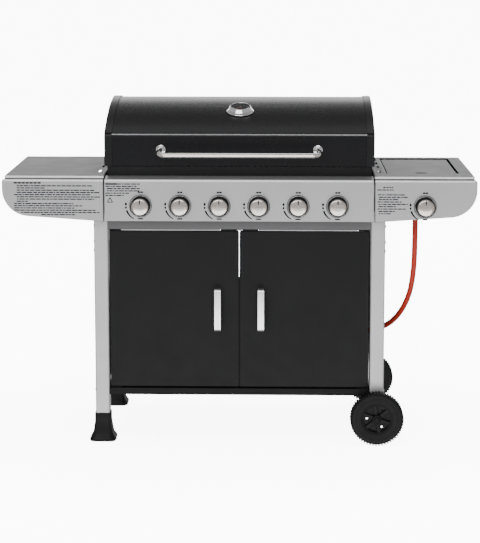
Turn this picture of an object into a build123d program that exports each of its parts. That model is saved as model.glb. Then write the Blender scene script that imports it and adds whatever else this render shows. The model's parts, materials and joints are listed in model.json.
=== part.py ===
from build123d import *
import os
from math import asin, cos, radians, sin, sqrt, tan

# A free-standing gas barbecue grill: firebox with a hinged lid, side shelves,
# a side burner and a two-door cabinet on four square legs.
# Millimetres. +X is to the right, the front faces -Y, +Z is up.
# The origin is on the floor, in the middle of the grill's footprint.
os.makedirs("parts", exist_ok=True)

# Overall
panel_front = -240.5            # Y of the control panel's front plane
half_width = 660.0              # outer face of each side fascia
sheet = 1.5                     # folded steel sheet
running = 0.05                  # radial clearance of a turning or sliding fit

# Legs, feet and wheels
leg_x = 390.0
leg_size = 40.0
leg_wall = 1.5
leg_corner = 4.0
leg_depths = (65.0, 440.0)
leg_joint = 561.0
leg_top = 744.0
foot_height = 80.0
foot_floor = 22.0
foot_rim = 10.0
foot_widths = (75.0, 58.0, 46.0)  # at the floor, at the leg's end and at the top
right_leg_end = 50.0
end_cap = 3.0
wheel_radius = 76.0
wheel_width = 36.0
rim_radius = 42.0
hub_radius = 13.0
web = 5.0                       # thickness of the disc behind the spokes
wheel_depths = (21.0, 484.0)
axle_radius = 5.0

# Cabinet
shelf_floor = 154.0
shelf_underside = 135.0
back_top = 395.0
side_top = 540.0
runner_x = 154.5
tray_bottom = 619.0
tray_size = (280.0, 350.0)
tray_depth = 295.0              # the tray's middle, behind the panel's front
door_bottom = 158.0
door_top = 607.0
door_outer = 366.0
door_inner = 1.6
door_front = 50.0
door_thick = 16.0
door_pin_x = 355.0
door_pin_depth = 56.0
pin_radius = 3.0
handle_x = 61.0
side_hole = (251.7, 280.3)      # depth and height of the hose hole in the side panel

# Firebox and lid
firebox_half = 370.0
firebox_front = 50.0
firebox_back = 478.0
firebox_bottom = 660.0
firebox_top = 791.0
lid_bottom = 793.0
lid_front = 37.0
lid_back = 513.0
lid_apex = 963.0
lid_corner = 884.0              # height where the band would meet the dome, before its crease is rounded
lid_half = 377.0
lid_pin_depth = 498.0
lid_pin_height = 801.0
lid_pin_radius = 4.0
handle_bar_radius = 7.0
gauge_depth = 165.0
gauge_dial = 25.5

# Control panel, fascias and shelves
panel_half = 373.5
panel_bottom = 642.0
panel_top = 759.0
fascia_inner = 377.0
shelf_top = 770.0
shelf_lip = 744.0
shelf_inner = 376.0
shelf_outer = 653.0
shelf_depths = (8.0, 433.0)
vent_x = 396.0
vent_depths = (106.0, 203.0, 286.0, 371.0)

# Controls and gas parts
knob_xs = [-273.7 + 109.48 * k for k in range(6)] + [516.0]
knob_height = 686.0
knob_clearance = 4.0            # free travel left behind and inside a pushed knob
stem_radius = 4.0
stem_end = -18.0
knob_back = -5.0
manifold_depth = 26.0
manifold_height = 664.0
manifold_radius = 8.0

# Side burner
side_x = (413.0, 612.0)
side_depths = (75.0, 392.0)
side_pin = (399.0, 765.0)       # depth and height of the lid's hinge line
side_pin_radius = 2.5

# Gas hose
hose_radius = 8.0


def at(depth):
    return panel_front + depth


# A sketch plane facing the front, this far behind the panel: extrude goes forward.
def facing(depth):
    return Plane.XZ.offset(-at(depth))


# A sketch plane across the grill: local X is +Y, local Y is +Z, extrude goes to +X.
def across(x):
    return Plane.YZ.offset(x)


# A bent strip of sheet from (depth, height) points, as a sketch in the (Y, Z) plane.
def bent(points, radius, thickness=sheet):
    with BuildSketch() as profile:
        with BuildLine():
            FilletPolyline(*[(at(depth), height) for depth, height in points], radius=radius)
        trace(line_width=thickness)
    return profile.sketch


def save(piece, name):
    piece.part.label = name
    export_step(piece.part, f"parts/{name}.step")


# Legs and feet
leg_inside = leg_size - 2 * leg_wall
with BuildPart() as lower_legs:
    for x, end in ((-leg_x, foot_floor), (leg_x, right_leg_end)):
        for depth in leg_depths:
            with BuildSketch(Plane.XY.offset(end)):
                with Locations((x, at(depth))):
                    RectangleRounded(leg_size, leg_size, leg_corner)
                    RectangleRounded(leg_inside, leg_inside, leg_corner - leg_wall, mode=Mode.SUBTRACT)
            extrude(amount=leg_joint - end)
            with BuildSketch(Plane.XY.offset(end)):
                with Locations((x, at(depth))):
                    RectangleRounded(leg_size, leg_size, leg_corner)
            extrude(amount=end_cap)
    with BuildSketch(facing(leg_depths[1] + 30)):
        with Locations((leg_x, wheel_radius)):
            Circle(axle_radius)
    extrude(amount=450, mode=Mode.SUBTRACT)
save(lower_legs, "lower_legs")

with BuildPart() as upper_legs:
    for x in (-leg_x, leg_x):
        for depth in leg_depths:
            with BuildSketch(Plane.XY.offset(leg_joint)):
                with Locations((x, at(depth))):
                    RectangleRounded(leg_size, leg_size, leg_corner)
                    RectangleRounded(leg_inside, leg_inside, leg_corner - leg_wall, mode=Mode.SUBTRACT)
            extrude(amount=leg_top - leg_joint)
save(upper_legs, "upper_legs")

with BuildPart() as feet:
    for depth in leg_depths:
        spot = (-leg_x, at(depth))
        with BuildSketch(Plane.XY):
            with Locations(spot):
                RectangleRounded(foot_widths[0], foot_widths[0], 16)
        extrude(amount=foot_rim)
        with BuildSketch(Plane.XY.offset(foot_rim)):
            with Locations(spot):
                RectangleRounded(foot_widths[0], foot_widths[0], 16)
        with BuildSketch(Plane.XY.offset(foot_floor)):
            with Locations(spot):
                RectangleRounded(foot_widths[1], foot_widths[1], 12)
        loft()
        with BuildSketch(Plane.XY.offset(foot_floor)):
            with Locations(spot):
                RectangleRounded(foot_widths[1], foot_widths[1], 12)
        with BuildSketch(Plane.XY.offset(foot_height)):
            with Locations(spot):
                RectangleRounded(foot_widths[2], foot_widths[2], 7)
        loft()
        with BuildSketch(Plane.XY.offset(foot_floor)):
            with Locations(spot):
                RectangleRounded(leg_size, leg_size, leg_corner)
        extrude(amount=foot_height, mode=Mode.SUBTRACT)
save(feet, "feet")

# One axle runs through both right legs and carries both wheels.
axle_rings = (
    (wheel_depths[0] - wheel_width / 2 - 6, wheel_depths[0] - wheel_width / 2 - 0.3, 9.0),
    (wheel_depths[0] + wheel_width / 2 + 0.3, leg_depths[0] - leg_size / 2, 9.0),
    (leg_depths[1] + leg_size / 2, wheel_depths[1] - wheel_width / 2 - 0.3, 9.0),
    (wheel_depths[1] + wheel_width / 2 + 0.3, wheel_depths[1] + wheel_width / 2 + 6, 9.0),
)
with BuildPart() as wheel_axle:
    with BuildSketch(facing(axle_rings[3][1])):
        with Locations((leg_x, wheel_radius)):
            Circle(axle_radius)
    extrude(amount=axle_rings[3][1] - axle_rings[0][0])
    for start, end, radius in axle_rings:
        with BuildSketch(facing(end)):
            with Locations((leg_x, wheel_radius)):
                Circle(radius)
        extrude(amount=end - start)
save(wheel_axle, "wheel_axle")

for name, depth in zip(("wheel_front", "wheel_rear"), wheel_depths):
    with BuildPart() as wheel:
        with BuildSketch(facing(depth + wheel_width / 2)):
            with Locations((leg_x, wheel_radius)):
                Circle(wheel_radius)
                Circle(rim_radius, mode=Mode.SUBTRACT)
        extrude(amount=wheel_width)
        fillet(wheel.edges().filter_by(GeomType.CIRCLE).group_by(SortBy.RADIUS)[-1], 6)
        with BuildSketch(facing(depth + wheel_width / 2 - 5)):
            with Locations((leg_x, wheel_radius)):
                with PolarLocations(27, 6, start_angle=40):
                    Rectangle(34, 9)
        extrude(amount=wheel_width - 10)
        with BuildSketch(facing(depth + web / 2)):
            with Locations((leg_x, wheel_radius)):
                Circle(rim_radius + 1)
                with PolarLocations(28, 3, start_angle=60):
                    Circle(2.6, mode=Mode.SUBTRACT)
        extrude(amount=web)
        with BuildSketch(facing(depth + wheel_width / 2)):
            with Locations((leg_x, wheel_radius)):
                Circle(hub_radius)
        extrude(amount=wheel_width)
        with BuildSketch(facing(depth + wheel_width / 2)):
            with Locations((leg_x, wheel_radius)):
                Circle(axle_radius + running)
        extrude(amount=wheel_width, mode=Mode.SUBTRACT)
    save(wheel, name)

# Cabinet
inner_width = 2 * (leg_x - leg_size / 2)
cabinet_front = leg_depths[0] - leg_size / 2
cabinet_back = leg_depths[1] + leg_size / 2

with BuildPart() as bottom_shelf:
    with BuildSketch(Plane.XY.offset(shelf_underside)):
        with Locations((0, at((cabinet_front + cabinet_back) / 2))):
            Rectangle(inner_width, cabinet_back - cabinet_front)
    extrude(amount=shelf_floor - shelf_underside)
    with BuildSketch(Plane.XY.offset(shelf_underside)):
        with Locations((0, at((cabinet_front + cabinet_back) / 2))):
            Rectangle(inner_width - 2 * sheet, cabinet_back - cabinet_front - 2 * sheet)
    extrude(amount=shelf_floor - shelf_underside - sheet, mode=Mode.SUBTRACT)
save(bottom_shelf, "bottom_shelf")

with BuildPart() as back_panel:
    with BuildSketch(facing(cabinet_back - 2)):
        with Locations((0, (shelf_floor + back_top) / 2)):
            Rectangle(inner_width, back_top - shelf_floor)
    extrude(amount=sheet)
    with BuildSketch(facing(cabinet_back - 2)):
        with Locations((0, back_top - sheet / 2)):
            Rectangle(inner_width, sheet)
    extrude(amount=14)
save(back_panel, "back_panel")

side_front = leg_depths[0] + leg_size / 2
side_back = leg_depths[1] - leg_size / 2
with BuildPart() as side_panels:
    for side in (-1, 1):
        with BuildSketch(across(side * leg_x)):
            with Locations((at((side_front + side_back) / 2), (shelf_underside + side_top) / 2)):
                Rectangle(side_back - side_front, side_top - shelf_underside)
        extrude(amount=sheet)
    with BuildSketch(across(leg_x - 5)):
        with Locations((at(side_hole[0]), side_hole[1])):
            Circle(16)
    extrude(amount=20, mode=Mode.SUBTRACT)
save(side_panels, "side_panels")

with BuildPart() as hose_grommet:
    with BuildSketch(across(leg_x - 3)):
        with Locations((at(side_hole[0]), side_hole[1])):
            Circle(20)
    extrude(amount=3)
    with BuildSketch(across(leg_x)):
        with Locations((at(side_hole[0]), side_hole[1])):
            Circle(16)
    extrude(amount=sheet)
    with BuildSketch(across(leg_x + sheet)):
        with Locations((at(side_hole[0]), side_hole[1])):
            Circle(20)
    extrude(amount=3)
    with BuildSketch(across(leg_x - 3)):
        with Locations((at(side_hole[0]), side_hole[1])):
            Circle(13)
    extrude(amount=10, mode=Mode.SUBTRACT)
save(hose_grommet, "hose_grommet")

# Front and rear rails tie the legs; two L runners between them carry the tray.
front_rail = bent(((72, 611.75), (50.75, 611.75), (50.75, 649.25), (72, 649.25)), 3)
rear_rail = bent(((430, 581), (459.25, 581), (459.25, 611.25), (430, 611.25)), 3)
runner_start = 51.5
with BuildPart() as frame_rails:
    with BuildSketch(across(-inner_width / 2)):
        add(front_rail)
        add(rear_rail)
    extrude(amount=inner_width)
    for side in (-1, 1):
        with BuildSketch(facing(cabinet_back)):
            with Locations((side * runner_x, 634)):
                Rectangle(2, 44)
            with Locations((side * (runner_x - 5), 646)):
                Rectangle(12, 1.5)
        extrude(amount=cabinet_back - runner_start)
save(frame_rails, "frame_rails")

with BuildPart() as grease_tray:
    with BuildSketch(Plane.XY.offset(tray_bottom)):
        with Locations((0, at(tray_depth))):
            Rectangle(*tray_size)
    extrude(amount=29.5)
    with BuildSketch(Plane.XY.offset(647)):
        with Locations((0, at(tray_depth))):
            Rectangle(tray_size[0] + 24, tray_size[1])
    extrude(amount=sheet)
    with BuildSketch(Plane.XY.offset(tray_bottom + sheet)):
        with Locations((0, at(tray_depth))):
            Rectangle(tray_size[0] - 2 * sheet, tray_size[1] - 2 * sheet)
    extrude(amount=40, mode=Mode.SUBTRACT)
    with BuildSketch(Plane.XZ.offset(-at(470))):
        with Locations((0, 628)):
            Rectangle(120, 3)
    extrude(amount=-22)
    with BuildSketch(Plane.XZ.offset(-at(490))):
        with Locations((0, 636.5)):
            Rectangle(120, 20)
    extrude(amount=-2)
save(grease_tray, "grease_tray")

for name, side in (("door_left", -1), ("door_right", 1)):
    middle = side * (door_outer + door_inner) / 2
    wide = door_outer - door_inner
    tall = door_top - door_bottom
    with BuildPart() as door:
        with BuildSketch(facing(door_front + door_thick)):
            with Locations((middle, (door_top + door_bottom) / 2)):
                Rectangle(wide, tall)
        extrude(amount=door_thick)
        fillet(door.faces().sort_by(Axis.Y)[0].edges(), 1.5)
        with BuildSketch(facing(door_front + door_thick)):
            with Locations((middle, (door_top + door_bottom) / 2)):
                Rectangle(wide - 2 * sheet, tall - 2 * sheet)
        extrude(amount=door_thick - sheet, mode=Mode.SUBTRACT)
        with BuildSketch(Plane.XY.offset(door_bottom - 5)):
            with Locations((side * door_pin_x, at(door_pin_depth))):
                Circle(pin_radius + running)
        extrude(amount=tall + 10, mode=Mode.SUBTRACT)
    save(door, name)

for name, side in (("door_handle_left", -1), ("door_handle_right", 1)):
    with BuildPart() as door_handle:
        with BuildSketch(across(side * handle_x - 9)):
            add(bent(((50, 328), (23, 322), (23, 435), (50, 429)), 9, 3))
        extrude(amount=18)
        with BuildSketch(facing(door_front)):
            with Locations((side * handle_x, 378.5)):
                Rectangle(60, 160)
        extrude(amount=-20, mode=Mode.SUBTRACT)
    save(door_handle, name)

# Hinge brackets hold the pins that the doors turn on, top and bottom.
with BuildPart() as door_hinge_brackets:
    for side in (-1, 1):
        with BuildSketch(Plane.XY.offset(608.5)):
            with Locations((side * 350, at(59))):
                Rectangle(32, 18)
        extrude(amount=2.5)
        with BuildSketch(Plane.XY.offset(shelf_floor)):
            with Locations((side * 350, at(59))):
                Rectangle(32, 18)
        extrude(amount=2.5)
        for height in (599.0, shelf_floor + 2.5):
            with BuildSketch(Plane.XY.offset(height)):
                with Locations((side * door_pin_x, at(door_pin_depth))):
                    Circle(pin_radius)
            extrude(amount=9.5)
save(door_hinge_brackets, "door_hinge_brackets")

with BuildPart() as door_catches:
    for side in (-1, 1):
        with BuildSketch(across(side * 30.5 - 22.5)):
            with Locations((at(68.5), 609.75)):
                Rectangle(37, 2.5)
            with Locations((at(77), 600)):
                Rectangle(20, 19)
        extrude(amount=45)
save(door_catches, "door_catches")

with BuildPart() as frame_bolts:
    for depth in leg_depths:
        for height in (620.0, 575.0, 549.0, 145.0):
            for side in (-1, 1):
                with BuildSketch(across(side * (leg_x + leg_size / 2))):
                    with Locations((at(depth), height)):
                        Circle(5)
                extrude(amount=side * 3)
save(frame_bolts, "frame_bolts")

# Firebox
firebox_middle = (firebox_front + firebox_back) / 2
with BuildPart() as firebox:
    with BuildSketch(Plane.XY.offset(firebox_bottom)):
        with Locations((0, at(firebox_middle))):
            Rectangle(2 * firebox_half, firebox_back - firebox_front)
    extrude(amount=firebox_top - firebox_bottom)
    with BuildSketch(Plane.XY.offset(firebox_bottom + 2)):
        with Locations((0, at(firebox_middle))):
            Rectangle(2 * firebox_half - 4, firebox_back - firebox_front - 4)
    extrude(amount=firebox_top, mode=Mode.SUBTRACT)
    for height in (728, 766):
        with BuildSketch(Plane.XY.offset(height)):
            with Locations((0, at(firebox_front + 7)), (0, at(firebox_back - 7))):
                Rectangle(2 * firebox_half - 4, 10)
        extrude(amount=2)
    with BuildSketch(facing(firebox_front + 2)):
        with Locations(*[(x, knob_height) for x in knob_xs[:6]]):
            Circle(12)
    extrude(amount=2, mode=Mode.SUBTRACT)
    with BuildSketch(Plane.XY.offset(firebox_bottom)):
        with Locations((0, at(firebox_middle))):
            Rectangle(110, 60)
    extrude(amount=2, mode=Mode.SUBTRACT)
save(firebox, "firebox")

with BuildPart() as burners:
    for x in knob_xs[:6]:
        with BuildSketch(facing(firebox_back - 2)):
            with Locations((x, knob_height)):
                Circle(12)
        extrude(amount=firebox_back - 2 - firebox_front)
        with BuildSketch(facing(firebox_back - 2)):
            with Locations((x, knob_height)):
                Circle(10.8)
        extrude(amount=firebox_back - 4 - firebox_front, mode=Mode.SUBTRACT)
save(burners, "burners")

# Each burner has a folded flame tamer over it, resting on the lower ledges.
with BuildPart() as flame_tamers:
    for x in knob_xs[:6]:
        with BuildSketch(facing(firebox_back - 4)):
            with BuildLine():
                FilletPolyline((x - 38, 731), (x, 752), (x + 38, 731), radius=6)
            trace(line_width=1.2)
        extrude(amount=firebox_back - firebox_front - 8)
save(flame_tamers, "flame_tamers")

with BuildPart() as cooking_grates:
    for x in (-243, 0, 243):
        with BuildSketch(Plane.XY.offset(768)):
            with Locations((x, at(firebox_middle))):
                Rectangle(240, 420)
                with GridLocations(17, 204, 13, 2):
                    Rectangle(11, 186, mode=Mode.SUBTRACT)
        extrude(amount=9)
save(cooking_grates, "cooking_grates")

rack_depths = (310.0, 430.0)
with BuildPart() as warming_rack:
    with BuildSketch(Plane.XY.offset(860)):
        for depth in rack_depths:
            with Locations((0, at(depth))):
                Rectangle(2 * (firebox_half - 2), 4)
        with Locations((0, at(sum(rack_depths) / 2))):
            with GridLocations(34, 0, 21, 1):
                Rectangle(3, rack_depths[1] - rack_depths[0])
    extrude(amount=4)
    for side in (-1, 1):
        with BuildSketch(Plane.XY.offset(775)):
            with Locations(*[(side * (firebox_half - 4.5), at(depth)) for depth in rack_depths]):
                Rectangle(5, 5)
        extrude(amount=85)
save(warming_rack, "warming_rack")

# Control panel and fascias
with BuildPart() as control_panel:
    with BuildSketch(across(-panel_half)):
        low = panel_bottom + sheet / 2
        add(bent(((14, low), (sheet / 2, low), (sheet / 2, panel_top), (45, panel_top + 5)), (2.5, 8)))
    extrude(amount=2 * panel_half)
    with BuildSketch(facing(5)):
        with Locations(*[(x, knob_height) for x in knob_xs[:6]]):
            Circle(6)
    extrude(amount=10, mode=Mode.SUBTRACT)
save(control_panel, "control_panel")

for name, side in (("fascia_left", -1), ("fascia_right", 1)):
    low_outer = (side * half_width, 660.5)
    top_outer = (side * half_width, 760)
    with BuildSketch() as outline:
        with BuildLine():
            Polyline((side * fascia_inner, 641), (side * fascia_inner, 760), top_outer, low_outer, close=True)
        make_face()
        fillet(outline.vertices().sort_by_distance(low_outer)[0], 76)
        fillet(outline.vertices().sort_by_distance(top_outer)[0], 8)
    with BuildPart() as fascia:
        with BuildSketch(facing(18)):
            add(outline.sketch)
        extrude(amount=18)
        fillet(fascia.faces().sort_by(Axis.Y)[0].edges(), 3)
        with BuildSketch(facing(18)):
            add(outline.sketch)
            offset(amount=-2)
        extrude(amount=16, mode=Mode.SUBTRACT)
        with BuildSketch(facing(18)):
            with Locations((side * (fascia_inner + half_width) / 2, 753)):
                Rectangle(300, 20)
        extrude(amount=18 - shelf_depths[0], mode=Mode.SUBTRACT)
        if side > 0:
            with BuildSketch(facing(5)):
                with Locations((knob_xs[6], knob_height)):
                    Circle(6)
            extrude(amount=10, mode=Mode.SUBTRACT)
    save(fascia, name)

# Side shelves
shelf_middle_x = (shelf_inner + shelf_outer) / 2
shelf_wide = shelf_outer - shelf_inner
shelf_middle_depth = sum(shelf_depths) / 2
shelf_deep = shelf_depths[1] - shelf_depths[0]
side_middle_x = sum(side_x) / 2
side_middle_depth = sum(side_depths) / 2
for name, side in (("shelf_left", -1), ("shelf_right", 1)):
    with BuildPart() as shelf:
        with BuildSketch(Plane.XY.offset(shelf_lip)):
            with Locations((side * shelf_middle_x, at(shelf_middle_depth))):
                RectangleRounded(shelf_wide, shelf_deep, 6)
        extrude(amount=shelf_top - shelf_lip)
        fillet(shelf.faces().sort_by(Axis.Z)[-1].edges(), 3)
        with BuildSketch(Plane.XY.offset(shelf_lip)):
            with Locations((side * shelf_middle_x, at(shelf_middle_depth))):
                RectangleRounded(shelf_wide - 2 * sheet, shelf_deep - 2 * sheet, 4.5)
        extrude(amount=shelf_top - shelf_lip - sheet, mode=Mode.SUBTRACT)
        with BuildSketch(Plane.XY.offset(shelf_top - 3)):
            with Locations(*[(side * vent_x, at(depth)) for depth in vent_depths]):
                SlotOverall(45, 7, rotation=90)
            if side > 0:
                with Locations((side_middle_x, at(side_middle_depth + 3.5))):
                    RectangleRounded(side_x[1] - side_x[0] + 8, side_depths[1] - side_depths[0] + 15, 12)
        extrude(amount=10, mode=Mode.SUBTRACT)
    save(shelf, name)

# Side burner
bowl_x = (410.2, 619.5)
bowl_depths = (67.5, 406.5)
bowl_floor = 700.0
with BuildPart() as side_burner_bowl:
    with BuildSketch(Plane.XY.offset(bowl_floor)):
        with Locations((sum(bowl_x) / 2, at(sum(bowl_depths) / 2))):
            RectangleRounded(bowl_x[1] - bowl_x[0], bowl_depths[1] - bowl_depths[0], 14)
    extrude(amount=shelf_top - sheet - bowl_floor)
    with BuildSketch(Plane.XY.offset(bowl_floor + sheet)):
        with Locations((sum(bowl_x) / 2, at(sum(bowl_depths) / 2))):
            RectangleRounded(bowl_x[1] - bowl_x[0] - 3, bowl_depths[1] - bowl_depths[0] - 3, 12.5)
    extrude(amount=100, mode=Mode.SUBTRACT)
    with BuildSketch(Plane.XY.offset(bowl_floor)):
        with Locations((knob_xs[6], at(side_middle_depth))):
            Circle(12.3)
    extrude(amount=5, mode=Mode.SUBTRACT)
    with BuildSketch(across(bowl_x[0])):
        with Locations((at(side_pin[0]), side_pin[1])):
            Circle(side_pin_radius)
    extrude(amount=bowl_x[1] - bowl_x[0])
save(side_burner_bowl, "side_burner_bowl")

burner_spot = (knob_xs[6], at(side_middle_depth))
with BuildPart() as side_burner:
    for start, end, radius in ((674, 715, 12), (715, 736, 38), (736, 742, 31)):
        with BuildSketch(Plane.XY.offset(start)):
            with Locations(burner_spot):
                Circle(radius)
        extrude(amount=end - start)
    with BuildSketch(facing(side_middle_depth)):
        with Locations((knob_xs[6], knob_height)):
            Circle(8)
    extrude(amount=side_middle_depth - 62)
save(side_burner, "side_burner")

trivet_centre = (side_middle_x, at(side_middle_depth))
with BuildPart() as side_burner_trivet:
    with BuildSketch(Plane.XY.offset(749)):
        with Locations(trivet_centre):
            Rectangle(186, 290)
            Rectangle(176, 280, mode=Mode.SUBTRACT)
            with GridLocations(56, 0, 2, 1):
                Rectangle(5, 284)
            with GridLocations(0, 84, 1, 2):
                Rectangle(180, 5)
            Rectangle(180, 5)
            Rectangle(5, 284)
            Circle(24)
            Circle(20, mode=Mode.SUBTRACT)
    extrude(amount=7)
    with BuildSketch(Plane.XY.offset(bowl_floor + sheet)):
        with Locations(trivet_centre):
            with GridLocations(181, 285, 2, 2):
                Rectangle(5, 5)
    extrude(amount=749 - bowl_floor - sheet)
save(side_burner_trivet, "side_burner_trivet")

with BuildPart() as side_burner_lid:
    with BuildSketch(Plane.XY.offset(760)):
        with Locations((side_middle_x, at(side_middle_depth))):
            RectangleRounded(side_x[1] - side_x[0], side_depths[1] - side_depths[0], 11)
    extrude(amount=11.5)
    fillet(side_burner_lid.faces().sort_by(Axis.Z)[-1].edges(), 2)
    with BuildSketch(Plane.XY.offset(760)):
        with Locations((side_middle_x, at(side_middle_depth))):
            RectangleRounded(side_x[1] - side_x[0] - 3, side_depths[1] - side_depths[0] - 3, 9.5)
    extrude(amount=10, mode=Mode.SUBTRACT)
    with BuildSketch(Plane.XY.offset(758)):
        with Locations((side_middle_x, at(side_depths[0]))):
            SlotOverall(30, 9)
    extrude(amount=20, mode=Mode.SUBTRACT)
    for x in (side_x[0] + 25, side_x[1] - 45):
        with BuildSketch(across(x)):
            with Locations((at(side_pin[0]), side_pin[1])):
                Circle(4)
            with Locations((at((side_pin[0] + side_depths[1]) / 2), side_pin[1])):
                Rectangle(side_pin[0] - side_depths[1], 6)
            with Locations((at(side_pin[0]), side_pin[1])):
                Circle(side_pin_radius + running, mode=Mode.SUBTRACT)
        extrude(amount=20)
save(side_burner_lid, "side_burner_lid")

# The lid
rear_radius = lid_apex - lid_bottom
lid_apex_depth = lid_back - rear_radius
dome_rise = lid_apex - lid_corner
dome_run = lid_apex_depth - lid_front
dome_radius = (dome_run ** 2 + dome_rise ** 2) / (2 * dome_rise)
dome_centre = lid_apex - dome_radius
cap = 3.0                       # the end castings stand this far outside the sheet


# The lid's side outline, moved inwards by inset, as a sketch in the (Y, Z) plane.
def lid_outline(inset, foot):
    front = at(lid_front + inset)
    back = at(lid_back - inset)
    apex = at(lid_apex_depth)
    radius = dome_radius - inset
    rear = rear_radius - inset
    half_turn = asin((apex - front) / radius) / 2
    corner = (front, dome_centre + radius * cos(2 * half_turn))
    middle = (apex - radius * sin(half_turn), dome_centre + radius * cos(half_turn))
    rear_middle = (apex + rear * sqrt(0.5), lid_bottom + rear * sqrt(0.5))
    with BuildSketch() as outline:
        with BuildLine():
            Line((front, foot), corner)
            ThreePointArc(corner, middle, (apex, lid_apex - inset))
            ThreePointArc((apex, lid_apex - inset), rear_middle, (back, lid_bottom))
            if foot < lid_bottom:
                Line((back, lid_bottom), (back, foot))
            Line((back, foot), (front, foot))
        make_face()
        fillet(outline.vertices().sort_by_distance(corner)[0], 16 - inset)
    return outline.sketch


gauge_run = lid_apex_depth - gauge_depth
gauge_tilt = asin(gauge_run / (dome_radius - cap))
gauge_height = dome_centre + (dome_radius - cap) * cos(gauge_tilt)
gauge_plane = Plane(
    origin=(0, at(gauge_depth), gauge_height),
    x_dir=(1, 0, 0),
    z_dir=(0, -sin(gauge_tilt), cos(gauge_tilt)),
)

with BuildPart() as lid_shell:
    with BuildSketch(across(-(lid_half - cap))):
        add(lid_outline(cap, lid_bottom))
        add(lid_outline(cap + sheet, lid_bottom - 10), mode=Mode.SUBTRACT)
    extrude(amount=2 * (lid_half - cap))
    with BuildSketch(gauge_plane.offset(-10)):
        Circle(30)
    extrude(amount=20, mode=Mode.SUBTRACT)
save(lid_shell, "lid_shell")

with BuildPart() as lid_ends:
    for side in (-1, 1):
        with BuildSketch(across(side * lid_half)):
            add(lid_outline(0, lid_bottom))
            add(lid_outline(cap, lid_bottom - 10), mode=Mode.SUBTRACT)
        extrude(amount=-side * 21)
        with BuildSketch(across(side * lid_half)):
            add(lid_outline(0, lid_bottom))
            with Locations((at(lid_pin_depth), lid_pin_height)):
                Circle(lid_pin_radius + running, mode=Mode.SUBTRACT)
        extrude(amount=-side * cap)
save(lid_ends, "lid_ends")

with BuildPart() as lid_hinge_brackets:
    for side in (-1, 1):
        with BuildSketch(across(side * 352)):
            with Locations((at(lid_pin_depth), lid_pin_height)):
                Circle(7)
            with Locations((at((firebox_back + lid_pin_depth) / 2), lid_pin_height)):
                Rectangle(lid_pin_depth - firebox_back, 14)
            with Locations((at(firebox_back + 3), 772)):
                Rectangle(6, 72)
        extrude(amount=side * 6)
        with BuildSketch(across(side * 358)):
            with Locations((at(lid_pin_depth), lid_pin_height)):
                Circle(lid_pin_radius)
        extrude(amount=side * (lid_half - 0.5 - 358))
save(lid_hinge_brackets, "lid_hinge_brackets")

post_x = 219.0
post_height = 839.0
bar_depth = -17.0
bar_height = 830.0
with BuildPart() as lid_handle:
    with BuildLine() as bar:
        FilletPolyline(
            (-post_x, at(36), post_height),
            (-post_x - 10, at(bar_depth), bar_height),
            (post_x + 10, at(bar_depth), bar_height),
            (post_x, at(36), post_height),
            radius=24,
        )
    with BuildSketch(Plane(origin=bar.line @ 0, z_dir=bar.line % 0)):
        Circle(handle_bar_radius)
    sweep()
    with BuildSketch(facing(lid_front + cap)):
        with Locations((-post_x, post_height), (post_x, post_height)):
            Circle(13.5)
    extrude(amount=6)
save(lid_handle, "lid_handle")

with BuildPart() as thermometer_case:
    with BuildSketch(gauge_plane):
        Circle(39)
    with BuildSketch(gauge_plane.offset(17)):
        Circle(28)
    loft()
    with BuildSketch(gauge_plane.offset(-8)):
        Circle(30)
    extrude(amount=8)
    with BuildSketch(gauge_plane.offset(-8)):
        Circle(4)
    extrude(amount=-40)
    with BuildSketch(gauge_plane.offset(10)):
        Circle(gauge_dial)
        Circle(1.5, mode=Mode.SUBTRACT)
    extrude(amount=10, mode=Mode.SUBTRACT)
    with BuildSketch(gauge_plane.offset(14)):
        Circle(5)
    extrude(amount=5, mode=Mode.SUBTRACT)
save(thermometer_case, "thermometer_case")

with BuildPart() as thermometer_glass:
    with BuildSketch(gauge_plane.offset(14.5)):
        Circle(gauge_dial - 0.1)
    extrude(amount=1.5)
save(thermometer_glass, "thermometer_glass")

with BuildPart() as thermometer_needle:
    with BuildSketch(gauge_plane.offset(11.5)):
        Circle(3.5)
        with Locations((-8, -8)):
            Rectangle(22, 2, rotation=45)
        Circle(1.5 + running, mode=Mode.SUBTRACT)
    extrude(amount=1.5)
save(thermometer_needle, "thermometer_needle")

# Knobs, valves, pipes
with BuildPart() as gas_manifold:
    with BuildSketch(across(-330)):
        with Locations((at(manifold_depth), manifold_height)):
            Circle(manifold_radius)
    extrude(amount=862)
    with BuildSketch(facing(118)):
        with Locations((498, manifold_height)):
            Circle(manifold_radius)
    extrude(amount=118 - manifold_depth)
    with BuildSketch(Plane.XY.offset(654)):
        with Locations((498, at(110))):
            Circle(manifold_radius)
    extrude(amount=10)
    with BuildSketch(across(-328)):
        with Locations((at(manifold_depth), manifold_height)):
            Circle(manifold_radius - 1.5)
    extrude(amount=858, mode=Mode.SUBTRACT)
save(gas_manifold, "gas_manifold")

with BuildPart() as gas_valves:
    for x in knob_xs:
        nozzle_end = 62 if x == knob_xs[6] else firebox_front
        with BuildSketch(facing(36)):
            with Locations((x, knob_height)):
                Rectangle(24, 28)
        extrude(amount=32)
        with BuildSketch(facing(nozzle_end)):
            with Locations((x, knob_height)):
                Circle(5)
        extrude(amount=nozzle_end - 36)
        with BuildSketch(facing(16)):
            with Locations((x, knob_height)):
                Circle(stem_radius + running)
        extrude(amount=20, mode=Mode.SUBTRACT)
save(gas_valves, "gas_valves")

with BuildPart() as knob_bezels:
    for x in knob_xs:
        with BuildSketch(facing(0)):
            with Locations((x, knob_height)):
                Circle(31)
        with BuildSketch(facing(-6)):
            with Locations((x, knob_height)):
                Circle(29.5)
        loft()
        with BuildSketch(facing(-1)):
            with Locations((x, knob_height)):
                Circle(28)
        extrude(amount=6, mode=Mode.SUBTRACT)
        with BuildSketch(facing(1)):
            with Locations((x, knob_height)):
                Circle(6)
        extrude(amount=5, mode=Mode.SUBTRACT)
save(knob_bezels, "knob_bezels")

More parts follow.
